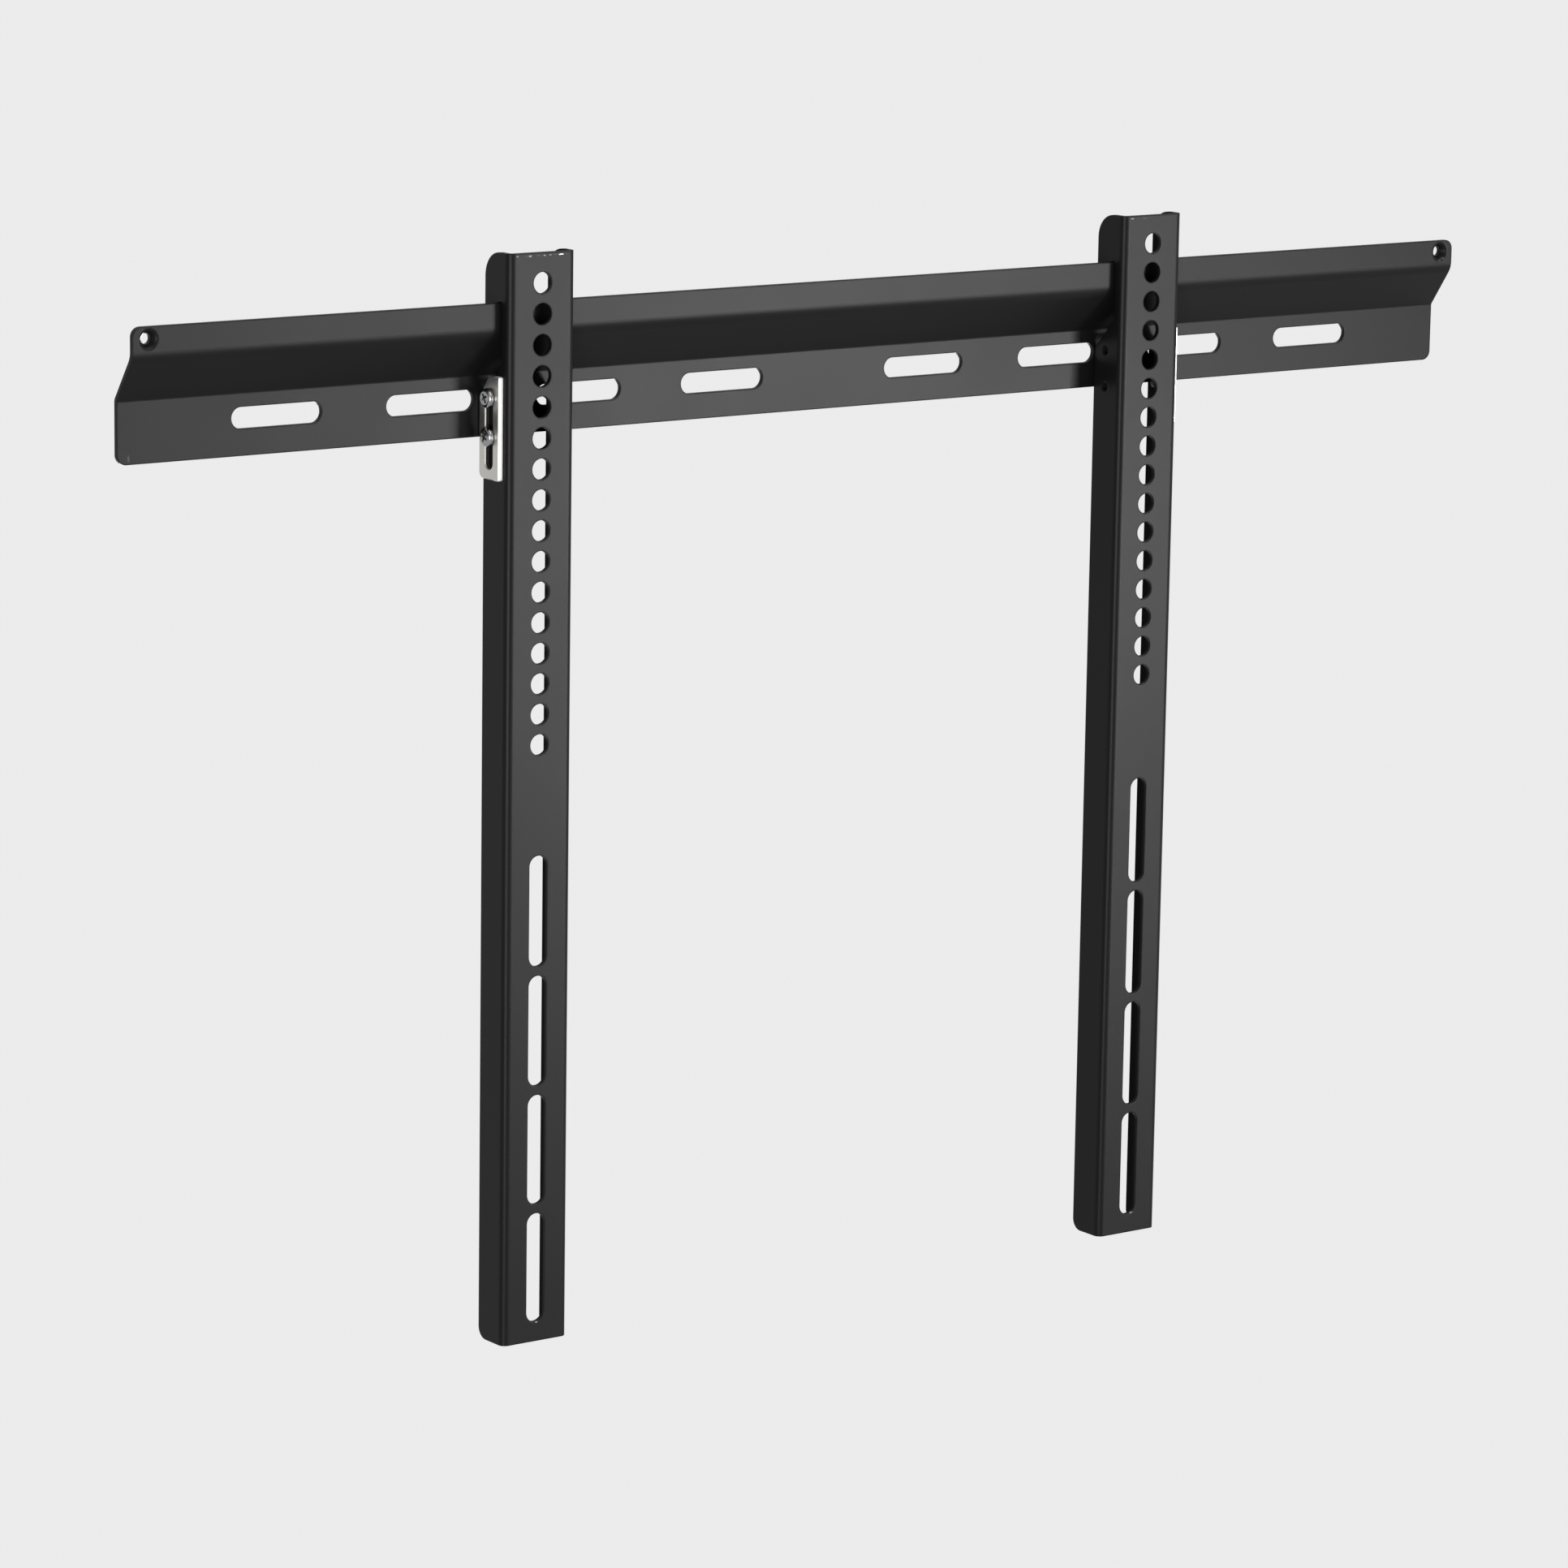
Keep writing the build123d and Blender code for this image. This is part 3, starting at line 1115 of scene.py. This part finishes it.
@dataclass
class ArmLock:
    """The slotted plate that locks one arm, and the two screws that hold it."""

    side: Side
    steel: BrushedSteel
    zinc: BrightZinc
    screw: PanScrew
    spin_step: float = math.radians(33)

    def ends(self, node: str) -> tuple[float, float]:
        """A node's inner and outer ends along X, as seen from the rail's middle."""
        low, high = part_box(node)
        return (low.x, high.x) if self.side.outward > 0 else (high.x, low.x)

    def dress_plate(self) -> None:
        """Gives the plate its brushed finish."""
        plate = self.side.of("lock_plate")
        name = self.side.of("plate_steel")
        low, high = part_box(self.side.of("upper_lock_screw"))
        slot_middle = (low.y + high.y) / 2
        outer_face = self.ends(plate)[1]
        dress_node(plate, self.steel.material(name, outer_face, self.side.outward, slot_middle))

    def dress_screw(self, level: str, spin: float) -> None:
        """Puts one detailed screw in the place of its plain solid.

        Args:
            level: Which of the two screws it is.
            spin: How far it is turned about its axis.
        """
        node = self.side.of(f"{level}_lock_screw")
        low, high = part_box(node)
        tip, top = self.ends(node)
        seat = top - self.side.outward * self.screw.head_height
        piece = self.screw.build(
            f"{node}_detailed",
            (seat, (low.y + high.y) / 2, (low.z + high.z) / 2),
            self.side.outward,
            abs(seat - tip),
            (high.y - low.y) / 2,
            spin,
        )
        material = self.zinc.material(self.side.of(f"{level}_screw_zinc"), seat, self.side.outward)
        settle(piece, self.side.of("arm"), material)
        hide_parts(node)

    def dress(self) -> None:
        """Dresses the plate and both screws."""
        self.dress_plate()
        for number, level in enumerate(("upper", "lower"), start=1):
            self.dress_screw(level, number * self.spin_step)


def dress_node(node: str, material: bpy.types.Material) -> None:
    """Gives a node of the frame its finish.

    Args:
        node: The node's name.
        material: Its finish.
    """
    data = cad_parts[node].data
    data.materials.clear()
    data.materials.append(material)
    LOG.info("%s wears %s", node, material.name)


def settle(piece: bpy.types.Object, body: str, material: bpy.types.Material) -> None:
    """Gives a new piece its finish and the body that it moves with.

    Args:
        piece: The new piece.
        body: The body's name.
        material: Its finish.
    """
    piece.data.materials.append(material)
    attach(piece, body)
    LOG.info("%s rides on %s, %d faces", piece.name, body, len(piece.data.polygons))


@dataclass(frozen=True)
class PhotoCamera:
    """The camera that looks down on the bracket from the left."""

    place: Triple = (-1.5052, -2.0468, 0.3246)
    yaw: float = math.radians(36.043)
    pitch: float = math.radians(11.13)
    roll: float = math.radians(0.884)
    lens_mm: float = 140.65
    sensor_mm: float = 36.0

    def build(self) -> bpy.types.Object:
        """Makes the camera and hands it to the scene.

        It looks along +Y turned by yaw towards +X and tipped down by pitch.

        Returns:
            The camera.
        """
        ahead = Vector(
            (
                math.sin(self.yaw) * math.cos(self.pitch),
                math.cos(self.yaw) * math.cos(self.pitch),
                -math.sin(self.pitch),
            )
        )
        level = Vector((math.cos(self.yaw), -math.sin(self.yaw), 0.0))
        upright = level.cross(ahead)
        right = level * math.cos(self.roll) + upright * math.sin(self.roll)
        up = right.cross(ahead)
        data = bpy.data.cameras.new("photo_camera")
        data.lens = self.lens_mm
        data.sensor_width = self.sensor_mm
        camera = bring_in("photo_camera", data)
        turn = Matrix((right, up, -ahead)).transposed().to_4x4()
        camera.matrix_world = Matrix.Translation(self.place) @ turn
        bpy.context.scene.camera = camera
        return camera


def facing(way: Vector) -> Matrix:
    """The turn that points a light along a way."""
    return way.to_track_quat("-Z", "Y").to_matrix().to_4x4()


@dataclass(frozen=True)
class SoftBox:
    """One rectangular studio light."""

    name: str
    place: Triple
    width: float
    height: float
    brightness: float
    aim: Triple = (0.0, 0.0, -0.15)

    def build(self, linked: bpy.types.Collection) -> bpy.types.Object:
        """Makes the light, which faces its aim and can't be seen itself.

        Args:
            linked: What alone the light falls on, or what it spares.

        Returns:
            The light.
        """
        data = bpy.data.lights.new(self.name, "AREA")
        data.shape = "RECTANGLE"
        data.size = self.width
        data.size_y = self.height
        data.energy = self.brightness * math.pi * self.width * self.height
        light = bring_in(self.name, data)
        turn = facing(Vector(self.aim) - Vector(self.place))
        light.matrix_world = Matrix.Translation(self.place) @ turn
        light.visible_camera = False
        light.light_linking.receiver_collection = linked
        return light


@dataclass(frozen=True)
class Studio:
    """Pale floor, pale surroundings and soft light."""

    background: Triple = (0.83, 0.83, 0.83)
    floor_colour: Triple = (0.5, 0.5, 0.5)
    floor_glow: Triple = (0.55, 0.55, 0.55)
    floor_drop: float = 0.9
    floor_reach: float = 60.0
    ambient: float = 0.16
    sky_strength: float = 1.6
    sky_angle: float = math.radians(50)
    sky_from: Triple = (0.35, -0.55, 0.9)
    boxes: tuple[SoftBox, ...] = (
        SoftBox("front_box", (1.44, -2.05, -0.36), width=0.6, height=0.6, brightness=43.0),
        SoftBox("side_box", (-2.06, -1.6, -0.3), width=0.75, height=1.2, brightness=17.0),
        SoftBox("middle_box", (0.6, -2.6, -0.4), width=0.7, height=0.5, brightness=7.0),
    )
    rear_box: SoftBox = SoftBox(
        "rear_box", (1.2, 2.4, -0.7), width=3.0, height=0.8, brightness=13.0
    )

    @staticmethod
    def seen_ray(sheet: NodeSheet) -> bpy.types.NodeSocket:
        """1 for rays from the camera, in a reflection or through glass, and 0 for scattered light.

        Args:
            sheet: The tree to work in.

        Returns:
            The mask's output.
        """
        path = sheet.add("LightPath").outputs
        direct = sheet.math("MAXIMUM", path["Is Camera Ray"], path["Is Glossy Ray"])
        return sheet.math("MAXIMUM", direct, path["Is Transmission Ray"])

    def build_world(self) -> None:
        """Pale surroundings where they are seen, and a low even light elsewhere."""
        world = bpy.data.worlds.new("studio_air")
        world.use_nodes = True
        sheet = NodeSheet(world.node_tree)
        even = (self.ambient,) * 3
        colour = sheet.mix(self.seen_ray(sheet), rgba(even), rgba(self.background))
        sheet.fill(world.node_tree.nodes["Background"], {"Color": colour})
        bpy.context.scene.world = world

    def build_floor(self) -> bpy.types.Object:
        """A wide pale floor below the arms, which scatters little light back up.

        Returns:
            The floor.
        """
        level = CAD_BOX[0].z - self.floor_drop
        corner = np.array([[-1, -1], [1, -1], [1, 1], [-1, 1]]) * self.floor_reach
        points = np.column_stack([corner, np.full(4, level)])
        mesh = bpy.data.meshes.new("studio_floor")
        mesh.from_pydata(points.tolist(), [], [[0, 1, 2, 3]])
        floor = bring_in("studio_floor", mesh)
        material, sheet, shader = new_material("studio_floor")
        dull = {"Base Color": rgba(self.floor_colour), "Roughness": 1.0, "Specular IOR Level": 0.0}
        glow = {"Emission Color": rgba(self.floor_glow), "Emission Strength": self.seen_ray(sheet)}
        sheet.fill(shader, {**dull, **glow})
        mesh.materials.append(material)
        return floor

    def build_sky(self) -> bpy.types.Object:
        """One broad even light from the front, above and to the right.

        Returns:
            The light.
        """
        data = bpy.data.lights.new("studio_sky", "SUN")
        data.energy = self.sky_strength
        data.angle = self.sky_angle
        light = bring_in("studio_sky", data)
        light.matrix_world = facing(-Vector(self.sky_from))
        return light

    @staticmethod
    def linked(name: str, piece: bpy.types.Object, state: str) -> bpy.types.Collection:
        """A collection that tells a light whether it falls on one object.

        Args:
            name: The collection's name.
            piece: The object.
            state: INCLUDE for a light on this object alone, or EXCLUDE for one that spares it.

        Returns:
            The collection.
        """
        collection = bpy.data.collections.new(name)
        collection.objects.link(piece)
        collection.collection_objects[0].light_linking.link_state = state
        return collection

    def build(self) -> None:
        """Builds the whole studio.

        The boxes spare the floor, which the sky lights evenly.  The rear box falls on the rail
        alone, because it would whiten the arms' edges as seen from the front.
        """
        bpy.context.scene.view_settings.view_transform = "Standard"
        self.build_world()
        floor = self.build_floor()
        self.build_sky()
        spared = self.linked("spared_by_boxes", floor, "EXCLUDE")
        for box in self.boxes:
            box.build(spared)
        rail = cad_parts["wall_rail"]
        self.rear_box.build(self.linked("lit_by_rear_box", rail, "INCLUDE"))


def main() -> None:
    """Builds the bracket's looks piece by piece, then the studio and the camera."""
    logging.basicConfig(level=logging.INFO, format="%(name)s: %(message)s")
    effects = SharedEffects()
    coat = PowderCoat(effects)
    steel = BrushedSteel(effects)
    zinc = BrightZinc(effects)
    thread = ThreadForm()
    screw = PanScrew(thread)
    WallRail(coat).dress()
    for side in Side:
        HookArm(side, coat, thread).dress()
        ArmLock(side, steel, zinc, screw).dress()
    Studio().build()
    PhotoCamera().build()


if __name__ == "__main__":
    main()
